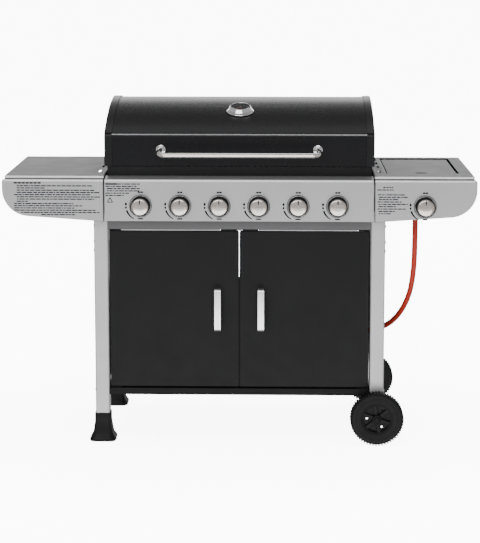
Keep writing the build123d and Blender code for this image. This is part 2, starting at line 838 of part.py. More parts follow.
# Each knob slides on the flat-sided end of its valve stem, and turns it.
knob_names = [f"burner_{k}" for k in range(1, 7)] + ["side_burner"]
for name, x in zip(knob_names, knob_xs):
    with BuildPart() as stem:
        with BuildSketch(facing(15)):
            with Locations((x, knob_height)):
                Circle(stem_radius)
        extrude(amount=15 - knob_back - knob_clearance)
        with BuildSketch(facing(knob_back + knob_clearance)):
            with Locations((x, knob_height)):
                Circle(stem_radius)
            with Locations((x, knob_height + 4.5)):
                Rectangle(10, 4, mode=Mode.SUBTRACT)
        extrude(amount=knob_back + knob_clearance - stem_end)
    save(stem, f"{name}_stem")
    with BuildPart() as knob:
        with BuildSketch(facing(knob_back)):
            with Locations((x, knob_height)):
                Circle(27)
        extrude(amount=4)
        with BuildSketch(facing(-9)):
            with Locations((x, knob_height)):
                Circle(27)
        with BuildSketch(facing(-12)):
            with Locations((x, knob_height)):
                Circle(23.5)
        loft()
        with BuildSketch(facing(-12)):
            with Locations((x, knob_height)):
                Circle(23.5)
        extrude(amount=20)
        fillet(knob.faces().sort_by(Axis.Y)[0].edges(), 3)
        with BuildSketch(facing(-30.8)):
            with Locations((x, knob_height + 13)):
                Rectangle(2.4, 14)
        extrude(amount=5, mode=Mode.SUBTRACT)
        with BuildSketch(facing(knob_back)):
            with Locations((x, knob_height)):
                Circle(stem_radius + running)
            with Locations((x, knob_height + 4.5 + running)):
                Rectangle(10, 4, mode=Mode.SUBTRACT)
        extrude(amount=knob_back + knob_clearance + 2 - stem_end, mode=Mode.SUBTRACT)
    save(knob, f"{name}_knob")

# Gas hose
inlet = (498.0, at(110))
with BuildPart() as hose_inlet:
    with BuildSketch(Plane.XY.offset(644)):
        with Locations(inlet):
            RegularPolygon(12.5, 6)
    extrude(amount=10)
    with BuildSketch(Plane.XY.offset(632)):
        with Locations(inlet):
            Circle(9.5)
    extrude(amount=12)
save(hose_inlet, "hose_inlet")

# The hose hangs from its inlet, goes through the cabinet's side and lies on the shelf.
hose_route = [
    (498, at(110), 632),
    (498, at(110), 560),
    (500.5, at(113), 486),
    (498, at(127), 420),
    (478, at(156), 362),
    (448, at(204), 314),
    (412, at(244), 287),
    (366, at(260), 273),
    (316, at(262), 256),
    (272, at(252), 228),
    (230, at(236), 196),
    (184, at(216), 173),
    (132, at(196), 163.5),
    (78, at(184), 162.5),
    (26, at(184), 162.5),
]
corners = [Vector(*point) for point in hose_route]
hose_radii = []
for before, here, after in zip(corners, corners[1:], corners[2:]):
    half_turn = radians((here - before).get_angle(after - here)) / 2
    hose_radii.append(0.45 * min((here - before).length, (after - here).length) / tan(half_turn))
with BuildPart() as gas_hose:
    with BuildLine() as route:
        FilletPolyline(*hose_route, radius=hose_radii)
    with BuildSketch(Plane(origin=route.line @ 0, z_dir=route.line % 0)):
        Circle(hose_radius)
    sweep()
save(gas_hose, "gas_hose")
hose_length = route.wires()[0].length
print("hose length", round(hose_length), "smallest bend", round(min(hose_radii)))
print("hose bends", [round(radius) for radius in hose_radii])
print("hose fill", round(gas_hose.part.volume / (hose_length * 3.14159 * hose_radius ** 2), 4))

with BuildPart() as regulator:
    with BuildSketch(across(26)):
        with Locations((at(184), 163)):
            Circle(8.8)
    extrude(amount=-24)
    with BuildSketch(Plane.XY.offset(shelf_floor)):
        with Locations((-25, at(184))):
            Circle(31)
    extrude(amount=26)
    with BuildSketch(Plane.XY.offset(shelf_floor + 26)):
        with Locations((-25, at(184))):
            Circle(20)
    extrude(amount=9)
    with BuildSketch(across(-50)):
        with Locations((at(184), 171)):
            Circle(10)
    extrude(amount=-14)
    with BuildSketch(across(-62)):
        with Locations((at(184), 171)):
            Circle(16.5)
    extrude(amount=-22)
save(regulator, "regulator")
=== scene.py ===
import json
import math
import random
import bmesh
import bpy
from mathutils import Matrix, Vector

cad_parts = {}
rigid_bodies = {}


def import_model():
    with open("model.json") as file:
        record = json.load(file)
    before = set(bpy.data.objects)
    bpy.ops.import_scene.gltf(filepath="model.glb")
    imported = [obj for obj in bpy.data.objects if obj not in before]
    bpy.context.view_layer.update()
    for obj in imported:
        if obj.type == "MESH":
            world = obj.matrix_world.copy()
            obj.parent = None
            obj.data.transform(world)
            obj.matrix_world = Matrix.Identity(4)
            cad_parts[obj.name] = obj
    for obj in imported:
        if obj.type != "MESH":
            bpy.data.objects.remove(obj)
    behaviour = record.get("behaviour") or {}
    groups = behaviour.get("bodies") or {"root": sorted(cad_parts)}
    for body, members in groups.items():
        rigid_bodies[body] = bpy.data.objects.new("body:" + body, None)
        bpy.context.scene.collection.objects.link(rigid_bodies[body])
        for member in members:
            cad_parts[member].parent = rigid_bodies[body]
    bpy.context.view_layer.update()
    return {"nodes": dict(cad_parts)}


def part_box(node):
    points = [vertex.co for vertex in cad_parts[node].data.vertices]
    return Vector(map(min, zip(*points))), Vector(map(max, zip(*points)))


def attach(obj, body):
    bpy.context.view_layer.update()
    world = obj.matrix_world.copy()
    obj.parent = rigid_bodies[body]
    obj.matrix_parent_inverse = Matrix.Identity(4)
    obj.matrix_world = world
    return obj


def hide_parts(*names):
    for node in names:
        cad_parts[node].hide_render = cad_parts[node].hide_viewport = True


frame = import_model()
scene = bpy.context.scene
for spare in [o for o in bpy.data.objects if o.name in ("Cube", "Light", "Camera")]:
    bpy.data.objects.remove(spare)

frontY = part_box("control_panel")[0].y  # the control panel's front plane
mm = 0.001


def at(depth):
    return frontY + depth * mm  # Y of a plane this many millimetres behind the panel's front


cameraSetup = {
    "place": (0.1091, frontY - 4.5931, 1.4081),
    "pitch": 8.006,
    "turn": 1.323,
    "lens": 111.09,
    "shiftY": -0.17,
}


def setCamera(setup):
    camera = bpy.data.objects.new("camera", bpy.data.cameras.new("camera"))
    scene.collection.objects.link(camera)
    camera.location = setup["place"]
    camera.rotation_euler = (math.radians(90 - setup["pitch"]), 0, math.radians(setup["turn"]))
    camera.data.lens = setup["lens"]
    camera.data.sensor_width = 36
    camera.data.shift_y = setup["shiftY"]
    scene.camera = camera


setCamera(cameraSetup)


# corners of a path turned into arcs of the given radius, or of one radius for each point
def roundCorners(points, radius, steps=6, closed=False):
    path = []
    for i, point in enumerate(points):
        here = Vector(point)
        wanted = radius[i] if isinstance(radius, (list, tuple)) else radius
        if wanted <= 0 or (not closed and i in (0, len(points) - 1)):
            path.append(here)
            continue
        toLast = Vector(points[i - 1]) - here
        toNext = Vector(points[(i + 1) % len(points)]) - here
        half = toLast.angle(toNext) / 2
        reach = min(wanted / math.tan(half), 0.49 * toLast.length, 0.49 * toNext.length)
        toLast.normalize()
        toNext.normalize()
        centre = here + (toLast + toNext).normalized() * (reach / math.cos(half))
        start = here + toLast * reach - centre
        end = here + toNext * reach - centre
        sweep = start.angle(end)
        for k in range(steps + 1):
            share = k / steps
            blend = start * math.sin((1 - share) * sweep) + end * math.sin(share * sweep)
            path.append(centre + blend / math.sin(sweep))
    return path


# a flat outline pushed along one axis: "x" takes (y, z) points, "y" takes (x, z), "z" takes (x, y)
def prism(outline, axis, low, high):
    def put(point, t):
        a, b = point[0], point[1]
        return {"x": (t, a, b), "y": (a, t, b), "z": (a, b, t)}[axis]
    n = len(outline)
    verts = [put(p, low) for p in outline] + [put(p, high) for p in outline]
    faces = [tuple(range(n)), tuple(range(2 * n - 1, n - 1, -1))]
    faces += [(i, (i + 1) % n, n + (i + 1) % n, n + i) for i in range(n)]
    return verts, faces


# both sides of a bent strip, as one closed outline
def thicken(path, thickness):
    sides = ([], [])
    for i, here in enumerate(path):
        before = path[max(i - 1, 0)]
        after = path[min(i + 1, len(path) - 1)]
        along = (after - before).normalized()
        normal = Vector((-along.y, along.x)) * (thickness / 2)
        sides[0].append(here + normal)
        sides[1].append(here - normal)
    return sides[0] + sides[1][::-1]


def boxPart(low, high):
    outline = [(low[0], low[1]), (high[0], low[1]), (high[0], high[1]), (low[0], high[1])]
    return prism(outline, "z", low[2], high[2])


# (radius, height) points turned round local Z
def lathe(profile, steps=48):
    verts, faces, rows = [], [], []
    for radius, height in profile:
        if radius < 1e-6:
            rows.append([len(verts)])
            verts.append((0, 0, height))
            continue
        rows.append(list(range(len(verts), len(verts) + steps)))
        for k in range(steps):
            turn = 2 * math.pi * k / steps
            verts.append((radius * math.cos(turn), radius * math.sin(turn), height))
    for lower, upper in zip(rows, rows[1:]):
        for k in range(steps):
            j = (k + 1) % steps
            if len(lower) == 1 and len(upper) > 1:
                faces.append((lower[0], upper[j], upper[k]))
            elif len(upper) == 1 and len(lower) > 1:
                faces.append((lower[k], lower[j], upper[0]))
            elif len(lower) > 1:
                faces.append((lower[k], lower[j], upper[j], upper[k]))
    return verts, faces


# a round bar that follows points in space
def rod(points, radius, sides=20):
    points = [Vector(p) for p in points]
    verts, faces = [], []
    along = (points[1] - points[0]).normalized()
    side = along.orthogonal().normalized()
    for i, here in enumerate(points):
        before = points[max(i - 1, 0)]
        after = points[min(i + 1, len(points) - 1)]
        newAlong = (after - before).normalized()
        side = (side - newAlong * side.dot(newAlong)).normalized()
        other = newAlong.cross(side)
        for k in range(sides):
            turn = 2 * math.pi * k / sides
            verts.append(here + (side * math.cos(turn) + other * math.sin(turn)) * radius)
    for i in range(len(points) - 1):
        for k in range(sides):
            j = (k + 1) % sides
            faces.append((i * sides + k, i * sides + j, (i + 1) * sides + j, (i + 1) * sides + k))
    last = (len(points) - 1) * sides
    faces += [tuple(range(sides - 1, -1, -1)), tuple(range(last, last + sides))]
    return verts, faces


def moved(part, matrix):
    return [matrix @ Vector(v) for v in part[0]], part[1]


# local Z turned to a direction, from a place
def facing(place, direction, up="Y"):
    return Matrix.Translation(place) @ Vector(direction).to_track_quat("Z", up).to_matrix().to_4x4()


def outward(x, depth, z):
    axes = Matrix(((1, 0, 0), (0, 0, -1), (0, 1, 0))).to_4x4()  # local Z looks out of the front
    return Matrix.Translation((x, at(depth), z)) @ axes


# one mesh object from several parts; edges sharper than 30 degrees get a rounded bevel
def build(name, parts, finish, body, bevel=0.0, steps=2, replaces=(), smooth=35):
    mesh = bpy.data.meshes.new(name)
    verts, faces = [], []
    for partVerts, partFaces in parts:
        start = len(verts)
        verts += [tuple(v) for v in partVerts]
        faces += [tuple(start + i for i in face) for face in partFaces]
    mesh.from_pydata(verts, [], faces)
    work = bmesh.new()
    work.from_mesh(mesh)
    bmesh.ops.recalc_face_normals(work, faces=work.faces)
    work.to_mesh(mesh)
    work.free()
    mesh.polygons.foreach_set("use_smooth", [True] * len(mesh.polygons))
    mesh.set_sharp_from_angle(angle=math.radians(smooth))
    piece = bpy.data.objects.new(name, mesh)
    scene.collection.objects.link(piece)
    mesh.materials.append(finish)
    if bevel:
        edge = piece.modifiers.new("edge", "BEVEL")
        edge.width = bevel
        edge.segments = steps
        edge.limit_method = "ANGLE"
        edge.angle_limit = math.radians(30)
        edge.harden_normals = True
    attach(piece, body)
    if replaces:
        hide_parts(*replaces)


# one material, with the patterns that vary its tone, roughness and surface
class Finish:
    def __init__(self, name, color, rough, metal=0.0, specular=0.5):
        self.material = bpy.data.materials.new(name)
        self.material.use_nodes = True
        self.nodes = self.material.node_tree.nodes
        self.links = self.material.node_tree.links
        self.shader = self.nodes["Principled BSDF"]
        self.shader.inputs["Base Color"].default_value = (*color, 1)
        self.shader.inputs["Roughness"].default_value = rough
        self.shader.inputs["Metallic"].default_value = metal
        self.shader.inputs["Specular IOR Level"].default_value = specular
        self.color = color
        self.rough = rough
        self.place = self.nodes.new("ShaderNodeTexCoord").outputs["Object"]

    def noise(self, scale, detail=3.0, stretch=None):
        source = self.place
        if stretch:
            squeeze = self.nodes.new("ShaderNodeMapping")
            squeeze.inputs["Scale"].default_value = stretch
            self.links.new(source, squeeze.inputs["Vector"])
            source = squeeze.outputs["Vector"]
        texture = self.nodes.new("ShaderNodeTexNoise")
        texture.inputs["Scale"].default_value = scale
        texture.inputs["Detail"].default_value = detail
        self.links.new(source, texture.inputs["Vector"])
        return texture.outputs["Fac"]

    def spread(self, source, low, high):
        span = self.nodes.new("ShaderNodeMapRange")
        span.inputs["From Min"].default_value = 0.3
        span.inputs["From Max"].default_value = 0.7
        span.inputs["To Min"].default_value = low
        span.inputs["To Max"].default_value = high
        self.links.new(source, span.inputs["Value"])
        return span.outputs["Result"]

    def tone(self, source, amount):
        ramp = self.nodes.new("ShaderNodeValToRGB")
        for end, part in zip(ramp.color_ramp.elements, (1 - amount, 1 + amount)):
            end.color = (*[min(c * part, 1) for c in self.color], 1)
        ramp.color_ramp.elements[0].position = 0.3
        ramp.color_ramp.elements[1].position = 0.7
        self.links.new(source, ramp.inputs["Fac"])
        self.links.new(ramp.outputs["Color"], self.shader.inputs["Base Color"])

    def sheen(self, source, amount):
        rough = self.spread(source, self.rough - amount, self.rough + amount)
        self.links.new(rough, self.shader.inputs["Roughness"])

    def bump(self, source, depth, strength=0.5):
        node = self.nodes.new("ShaderNodeBump")
        node.inputs["Strength"].default_value = strength
        node.inputs["Distance"].default_value = depth
        if self.shader.inputs["Normal"].links:
            self.links.new(self.shader.inputs["Normal"].links[0].from_socket, node.inputs["Normal"])
        self.links.new(source, node.inputs["Height"])
        self.links.new(node.outputs["Normal"], self.shader.inputs["Normal"])


# sprayed paint or enamel: a slow drift of tone and a fine orange-peel skin
def painted(
    name, color, rough, metal=0.0, grain=900, depth=0.00002, drift=0.05, flake=0.0, gloss=0.5, mottle=0.04
):
    paint = Finish(name, color, rough, metal, specular=gloss)
    slow = paint.noise(scale=5, detail=2)
    paint.tone(slow, drift)
    fine = paint.noise(grain, detail=2)
    paint.sheen(paint.noise(scale=23, detail=4), mottle)
    paint.bump(fine, depth, strength=0.35)
    if flake:
        paint.bump(paint.noise(grain * 2.5, detail=1), depth * flake, strength=0.4)
    return paint.material


# metal with fine lines drawn along one axis
def brushed(name, color, rough, along="x", lines=700, depth=0.00002, drift=0.08):
    stretch = {"x": (0.02, 1, 1), "y": (1, 0.02, 1), "z": (1, 1, 0.02)}[along]
    steel = Finish(name, color, rough, 1.0)
    strokes = steel.noise(lines, detail=3, stretch=stretch)
    steel.tone(strokes, drift)
    steel.sheen(steel.noise(lines / 3, detail=2, stretch=stretch), amount=0.07)
    steel.bump(strokes, depth, strength=0.3)
    return steel.material


# moulded plastic or rubber with a fine grain
def moulded(name, color, rough, grain=1400, depth=0.00003, drift=0.12, gloss=0.5):
    plastic = Finish(name, color, rough, specular=gloss)
    plastic.tone(plastic.noise(scale=12, detail=3), drift)
    plastic.sheen(plastic.noise(scale=60, detail=3), amount=0.06)
    plastic.bump(plastic.noise(grain, detail=2), depth, strength=0.5)
    return plastic.material


# rough cast metal, with or without enamel
def castMetal(name, color, rough, metal, grain=420, depth=0.00009):
    cast = Finish(name, color, rough, metal)
    cast.tone(cast.noise(scale=30, detail=5), amount=0.18)
    cast.sheen(cast.noise(scale=90, detail=4), amount=0.08)
    cast.bump(cast.noise(grain, detail=5), depth, strength=0.6)
    return cast.material


def plated(name, color, rough):
    shine = Finish(name, color, rough, 1.0)
    shine.tone(shine.noise(scale=14, detail=3), amount=0.03)
    shine.sheen(shine.noise(scale=110, detail=4), amount=0.025)
    shine.bump(shine.noise(scale=60, detail=2), depth=0.00001, strength=0.15)
    return shine.material


def clearGlass(name):
    glass = Finish(name, (0.95, 0.97, 0.97), 0.03)
    glass.shader.inputs["Transmission Weight"].default_value = 1.0
    glass.shader.inputs["IOR"].default_value = 1.2
    glass.sheen(glass.noise(scale=40, detail=3), amount=0.015)
    return glass.material


finishes = {
    "panelSilver": painted(
        "panelSilver", (0.46, 0.46, 0.465), 0.36, metal=0.6, grain=1100, drift=0.03, flake=0.6,
    ),
    "shelfGrey": painted(
        "shelfGrey", (0.19, 0.19, 0.195), 0.5, metal=0.2, grain=800, depth=0.00004, drift=0.04, gloss=0.2,
    ),
    "legSilver": painted(
        "legSilver", (0.56, 0.56, 0.565), 0.42, metal=0.4, grain=900, depth=0.00003, drift=0.04,
    ),
    # the legs' silver paint made much darker for the frame rails: painted shade from the control panel above
    "railSilverPaintedShade": painted(
        "railSilverPaintedShade", (0.14, 0.14, 0.143), 0.5, metal=0.2, grain=900, depth=0.00003, drift=0.04,
    ),
    # near-white paint for the rolled edges: a painted highlight along them
    "edgePaintedHighlight": painted("edgePaintedHighlight", (0.97, 0.97, 0.97), 0.3, metal=0.15, grain=1100, drift=0.02),
    "lidEnamel": painted(
        "lidEnamel", (0.0072, 0.0073, 0.0085), 0.27, grain=500, depth=0.000003, drift=0.06,
        gloss=0.18, mottle=0.01,
    ),
    # mid grey on the black lid: a painted highlight for the crease bead
    "creasePaintedHighlight": painted("creasePaintedHighlight", (0.3, 0.3, 0.31), 0.3, metal=0.4, grain=700, drift=0.06),
    "fireboxEnamel": painted(
        "fireboxEnamel", (0.015, 0.015, 0.0162), 0.5, grain=500, depth=0.00004, drift=0.12, gloss=0.15,
    ),
    "capBlack": painted(
        "capBlack", (0.0066, 0.0067, 0.0078), 0.29, grain=620, depth=0.000005, drift=0.08,
        gloss=0.24, mottle=0.015,
    ),
    "doorBlack": painted(
        "doorBlack", (0.0114, 0.0114, 0.0124), 0.4, grain=900, depth=0.00003, drift=0.08, gloss=0.12,
    ),
    # black paint of the inner panels, also used as painted shade behind the rear vents and round the side
    # burner lid
    "insideBlackAndShade": painted(
        "insideBlackAndShade", (0.009, 0.009, 0.0095), 0.55, grain=600, depth=0.00004, drift=0.12, gloss=0.15,
    ),
    "tubeSteel": brushed("tubeSteel", (0.86, 0.83, 0.79), 0.2, "x"),
    "stripSteel": brushed("stripSteel", (0.98, 0.98, 0.975), 0.3, "z", drift=0.03),
    "knobSteel": brushed("knobSteel", (0.62, 0.57, 0.53), 0.2, "x", 900),
    "knobBlack": moulded("knobBlack", (0.006, 0.006, 0.0065), 0.38, gloss=0.2),
    "chrome": plated("chrome", (0.80, 0.80, 0.81), 0.09),
    "zinc": plated("zinc", (0.50, 0.50, 0.51), 0.3),
    "brass": plated("brass", (0.62, 0.42, 0.16), 0.3),
    "burnerSteel": brushed("burnerSteel", (0.42, 0.41, 0.39), 0.4, "y", 500),
    "grateIron": castMetal("grateIron", (0.014, 0.014, 0.014), 0.5, 0.2),
    "bowlEnamel": painted("bowlEnamel", (0.008, 0.008, 0.008), 0.25, grain=300, depth=0.00004, gloss=0.3),
    "blackPlastic": moulded("blackPlastic", (0.0085, 0.0085, 0.009), 0.45, gloss=0.16),
    "tyrePlastic": moulded(
        "tyrePlastic", (0.012, 0.012, 0.0128), 0.55, grain=900, depth=0.00005, gloss=0.16,
    ),
    "hoseRubber": moulded(
        "hoseRubber", (0.5, 0.035, 0.02), 0.45, grain=1800, depth=0.00003, drift=0.1, gloss=0.3,
    ),
    "grommetRubber": moulded("grommetRubber", (0.01, 0.01, 0.01), 0.6, gloss=0.2),
    "regulatorAlloy": castMetal(
        "regulatorAlloy", (0.40, 0.40, 0.41), 0.42, 0.8, grain=800, depth=0.00004,
    ),
    "needlePaint": painted("needlePaint", (0.22, 0.03, 0.02), 0.45),
    "dialFace": painted("dialFace", (0.007, 0.007, 0.008), 0.5, gloss=0.1),
    "dialMark": painted("dialMark", (0.13, 0.13, 0.125), 0.5),
    "printInk": painted("printInk", (0.006, 0.006, 0.007), 0.6, grain=1500, gloss=0.08),
    # dull black with no gloss: painted shade of the side burner lid's finger notch
    "notchPaintedShade": moulded("notchPaintedShade", (0.004, 0.004, 0.004), 0.9, gloss=0.0),
    "glass": clearGlass("glass"),
}

cadFinishes = {
    "control_panel": "panelSilver", "fascia_left": "panelSilver", "fascia_right": "panelSilver",
    "shelf_left": "shelfGrey", "shelf_right": "shelfGrey", "side_burner_lid": "shelfGrey",
    "lower_legs": "legSilver", "upper_legs": "legSilver", "frame_rails": "railSilverPaintedShade",
    "lid_shell": "lidEnamel", "lid_ends": "capBlack", "lid_hinge_brackets": "capBlack",
    "firebox": "fireboxEnamel",
    "door_left": "doorBlack", "door_right": "doorBlack", "bottom_shelf": "insideBlackAndShade",
    "back_panel": "insideBlackAndShade", "side_panels": "insideBlackAndShade", "door_hinge_brackets": "insideBlackAndShade",
    "door_catches": "insideBlackAndShade", "lid_handle": "tubeSteel", "door_handle_left": "stripSteel",
    "door_handle_right": "stripSteel", "knob_bezels": "chrome", "thermometer_case": "chrome",
    "thermometer_glass": "glass", "thermometer_needle": "needlePaint", "feet": "blackPlastic",
    "wheel_front": "tyrePlastic", "wheel_rear": "tyrePlastic", "wheel_axle": "zinc",
    "frame_bolts": "zinc",
    "cooking_grates": "grateIron", "side_burner_trivet": "grateIron", "burners": "burnerSteel",
    "flame_tamers": "burnerSteel", "warming_rack": "burnerSteel", "grease_tray": "burnerSteel",
    "side_burner": "burnerSteel", "side_burner_bowl": "bowlEnamel", "gas_valves": "brass",
    "hose_inlet": "brass",
    "gas_manifold": "zinc", "gas_hose": "hoseRubber", "hose_grommet": "grommetRubber",
    "regulator": "regulatorAlloy",
}
for node, piece in frame["nodes"].items():
    if node.endswith("_knob"):
        chosen = "knobSteel"
    elif node.endswith("_stem"):
        chosen = "zinc"
    else:
        chosen = cadFinishes[node]
    piece.data.materials.clear()
    piece.data.materials.append(finishes[chosen])
print("finishes ready:", len(finishes))


# gas hose, with its centre line as (x, depth, z) in millimetres
hoseSetup = {"diameter": 0.016, "length": 0.842}
hoseRoute = [
    (498, 110, 632), (498, 110, 560), (496, 113, 486), (488, 127, 420), (470, 156, 364),
    (444, 204, 316), (412, 244, 287), (366, 260, 273), (316, 262, 256), (272, 252, 228),
    (230, 236, 196), (184, 216, 173), (132, 196, 163.5), (78, 184, 162.5), (26, 184, 162.5),
]


def makeHose(setup, route):
    line = bpy.data.curves.new("gasHose", "CURVE")
    line.dimensions = "3D"
    spline = line.splines.new("NURBS")
    spline.points.add(len(route) - 1)
    for point, (x, depth, z) in zip(spline.points, route):
        point.co = (x * mm, at(depth), z * mm, 1)
    spline.order_u = 3
    spline.use_endpoint_u = True
    spline.resolution_u = 10
    line.bevel_depth = setup["diameter"] / 2
    line.bevel_resolution = 6
    line.use_fill_caps = True
    line.materials.append(finishes["hoseRubber"])
    hose = bpy.data.objects.new("gasHose", line)
    scene.collection.objects.link(hose)
    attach(hose, "root")
    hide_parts("gas_hose")


makeHose(hoseSetup, hoseRoute)
print("hose laid")

# printed marks on the steel: plain dashes, dots and arcs with no lettering
inkSetup = {"proud": 0.00012, "sunk": 0.0002, "barHeight": 0.003, "word": (4, 17), "space": (1.4, 2.2)}


def inked(outline):
    return prism(outline, "y", frontY - inkSetup["proud"], frontY + inkSetup["sunk"])


def inkBar(x, z, long, high=None):
    high = high or inkSetup["barHeight"]
    return inked([(x, z - high / 2), (x + long, z - high / 2), (x + long, z + high / 2), (x, z + high / 2)])


# rows of broken dashes: (indent, length) in millimetres, row by row downwards
def inkRows(block):
    draw = random.Random(block["seed"])
    left, top = block["start"]
    parts = []
    for k, (indent, long) in enumerate(block["rows"]):
        x = left + indent
        end = x + long
        while x < end - 2:
            word = min(draw.uniform(*inkSetup["word"]), end - x)
            parts.append(inkBar(x * mm, (top - k * block["pitch"]) * mm, word * mm))
            x += word + draw.uniform(*inkSetup["space"])
    return parts


printSetup = {
    "headingHeight": 0.0042,
    "leftHeading": {"start": (-626, 749.7), "dash": 9.3, "pitch": 11, "count": 7},
    "left": {
        "start": (-626, 741.7), "pitch": 6.24, "seed": 3,
        "rows": [
            (8, 210), (8, 81), (8, 216), (8, 230), (0, 213), (8, 232), (8, 216), (8, 31),
            (0, 165), (0, 190), (0, 168), (0, 227), (20, 218), (75, 95),
        ],
    },
    "panelHeading": {"start": (-370.6, 747.3), "dash": 32, "pitch": 0, "count": 1},
    "panel": {
        "start": (-371, 747.3), "pitch": 6.4, "seed": 5,
        "rows": [(0, 96), (1, 87), (4, 92), (4, 90), (0, 66), (0, 55)],
    },
    "triangle": {"centre": (-0.3585, 0.7005), "radius": 0.0085, "half": 0.0011},
    "rightTop": {"start": (399, 740), "pitch": 7, "seed": 8, "rows": [(0, 28), (-16, 46)]},
    "right": {
        "start": (384, 719.3), "pitch": 6.6, "seed": 9,
        "rows": [(0, 78), (3, 81), (3, 56), (0, 67), (3, 81), (3, 48), (0, 78), (3, 45), (3, 34)],
    },
}


def inkHeading(heading, high):
    left, height = heading["start"]
    starts = [left + k * heading["pitch"] for k in range(heading["count"])]
    return [inkBar(x * mm, height * mm, heading["dash"] * mm, high) for x in starts]


def inkTriangle(setup):
    corners = []
    for angle in (90, 210, 330):
        turn = math.radians(angle)
        outwards = Vector((math.cos(turn), math.sin(turn)))
        corners.append(Vector(setup["centre"]) + outwards * setup["radius"])
    bars = []
    for start, end in zip(corners, corners[1:] + corners[:1]):
        side = (end - start).normalized().orthogonal() * setup["half"]
        bars.append(inked([start + side, end + side, end - side, start - side]))
    return bars


def makePrint(setup):
    high = setup["headingHeight"]
    leftPrint = inkHeading(setup["leftHeading"], high) + inkRows(setup["left"])
    build("fasciaLeftPrint", leftPrint, finishes["printInk"], "root")
    panelPrint = inkHeading(setup["panelHeading"], high) + inkRows(setup["panel"])
    panelPrint += inkTriangle(setup["triangle"])
    build("panelPrint", panelPrint, finishes["printInk"], "root")
    rightPrint = inkRows(setup["rightTop"]) + inkRows(setup["right"])
    build("fasciaRightPrint", rightPrint, finishes["printInk"], "root")


makePrint(printSetup)

# knobs and their chrome rings, as (radius, height) in millimetres in front of the panel
knobSetup = {
    "spots": [(-0.2737 + 0.10948 * k, 0.686) for k in range(6)] + [(0.516, 0.686)],
    "names": ["burner_" + str(k) for k in range(1, 7)] + ["side_burner"],
    "ring": [(6, 1), (28, 1), (28, 5), (28.3, 5.7), (29, 6), (29.5, 5.4), (30.5, 1.6), (31, 1), (31, 0)],
    "gasket": [(30.6, 0), (30.6, 1.3), (31.4, 1.2), (31.9, 0.8), (31.9, 0)],
    "body": [
        (0, 5), (26.6, 5), (27, 5.5), (27, 8.8), (26.6, 9.4), (24.3, 11.4), (23.6, 12.6),
        (23.3, 27.4), (0, 27.4),
    ],
    "face": [
        (23.3, 26.6), (23.5, 27), (23.5, 28.2), (23.1, 29.2), (22.2, 30), (20.5, 30.6),
        (16, 31.3), (9, 31.8), (0, 32),
    ],
    "pointer": [(-1.9, 20.6), (1.9, 20.6), (1.1, 8.5), (-1.1, 8.5)],
    "pointerHeights": (30.2, 31.95),
}

# marks round each knob: dashes above and below, an arc and two flame spots at its left
markSetup = {
    "above": [(-0.0068, 0.0062), (0.0004, 0.0068)],
    "aboveHeight": 0.0385,
    "aboveThick": 0.0042,
    "below": (-0.0075, 0.0145),
    "belowHeight": -0.0362,
    "belowThick": 0.0036,
    "radius": 0.0405,
    "arc": (198, 243),
    "arcWidths": (0.0052, 0.0024),
    "flames": [(0.0052, 0.0052), (-0.0048, 0.0044)],
    "flameShape": 0.7,
}


def inMetres(profile):
    return [(a * mm, b * mm) for a, b in profile]


def arcBand(centre, radius, start, end, widths, steps=14):
    outer, inner = [], []
    for k in range(steps + 1):
        share = k / steps
        turn = math.radians(start + (end - start) * share)
        half = (widths[0] + (widths[1] - widths[0]) * share) / 2
        across = Vector((math.cos(turn), math.sin(turn)))
        outer.append(Vector(centre) + across * (radius + half))
        inner.append(Vector(centre) + across * (radius - half))
    return inked(outer + inner[::-1])


def knobMarks(x, z, setup):
    marks = []
    for start, long in setup["above"]:
        marks.append(inkBar(x + start, z + setup["aboveHeight"], long, setup["aboveThick"]))
    start, long = setup["below"]
    marks.append(inkBar(x + start, z + setup["belowHeight"], long, setup["belowThick"]))
    marks.append(arcBand((x, z), setup["radius"], *setup["arc"], setup["arcWidths"]))
    left = x - setup["radius"]
    for lift, size in setup["flames"]:
        wide = size * setup["flameShape"]
        middle = z + lift
        flame = [(left, middle + size), (left + wide, middle), (left, middle - size), (left - wide, middle)]
        marks.append(inked(flame))
    return marks


def makeKnobs(setup):
    rings, gaskets, marks = [], [], []
    for (x, z), name in zip(setup["spots"], setup["names"]):
        here = outward(x, 0, z)
        rings.append(moved(lathe(inMetres(setup["ring"]), 72), here))
        gaskets.append(moved(lathe(inMetres(setup["gasket"]), 72), here))
        body = moved(lathe(inMetres(setup["body"]), 64), here)
        face = moved(lathe(inMetres(setup["face"]), 64), here)
        pointer = prism(inMetres(setup["pointer"]), "z", *[h * mm for h in setup["pointerHeights"]])
        rider = name + "_control"
        build(name + "Body", [body], finishes["knobBlack"], rider, 0.0003, replaces=[name + "_knob"])
        build(name + "Face", [face], finishes["knobSteel"], rider, smooth=60)
        build(name + "Pointer", [moved(pointer, here)], finishes["knobBlack"], rider, 0.0002)
        marks += knobMarks(x, z, markSetup)
    build(
        "knobRings", rings, finishes["chrome"], "root", 0.0002,
        replaces=["knob_bezels"],
    )
    build("knobGaskets", gaskets, finishes["knobBlack"], "root")
    build("knobMarks", marks, finishes["printInk"], "root")


makeKnobs(knobSetup)
print("knobs made")

# lid handle: a bent bar between two stepped washers
barSetup = {
    "radius": 0.007,
    "bend": 0.024,
    "path": [(-219, 36, 839), (-229, -17, 830), (229, -17, 830), (219, 36, 839)],
    "washer": [
        (0, 0), (13.5, 0), (13.5, 1.5), (12.9, 2.4), (10.4, 2.9), (9.8, 4.4), (9, 5.6), (7.4, 6), (0, 6),
    ],
    "washerDepth": 40,
}


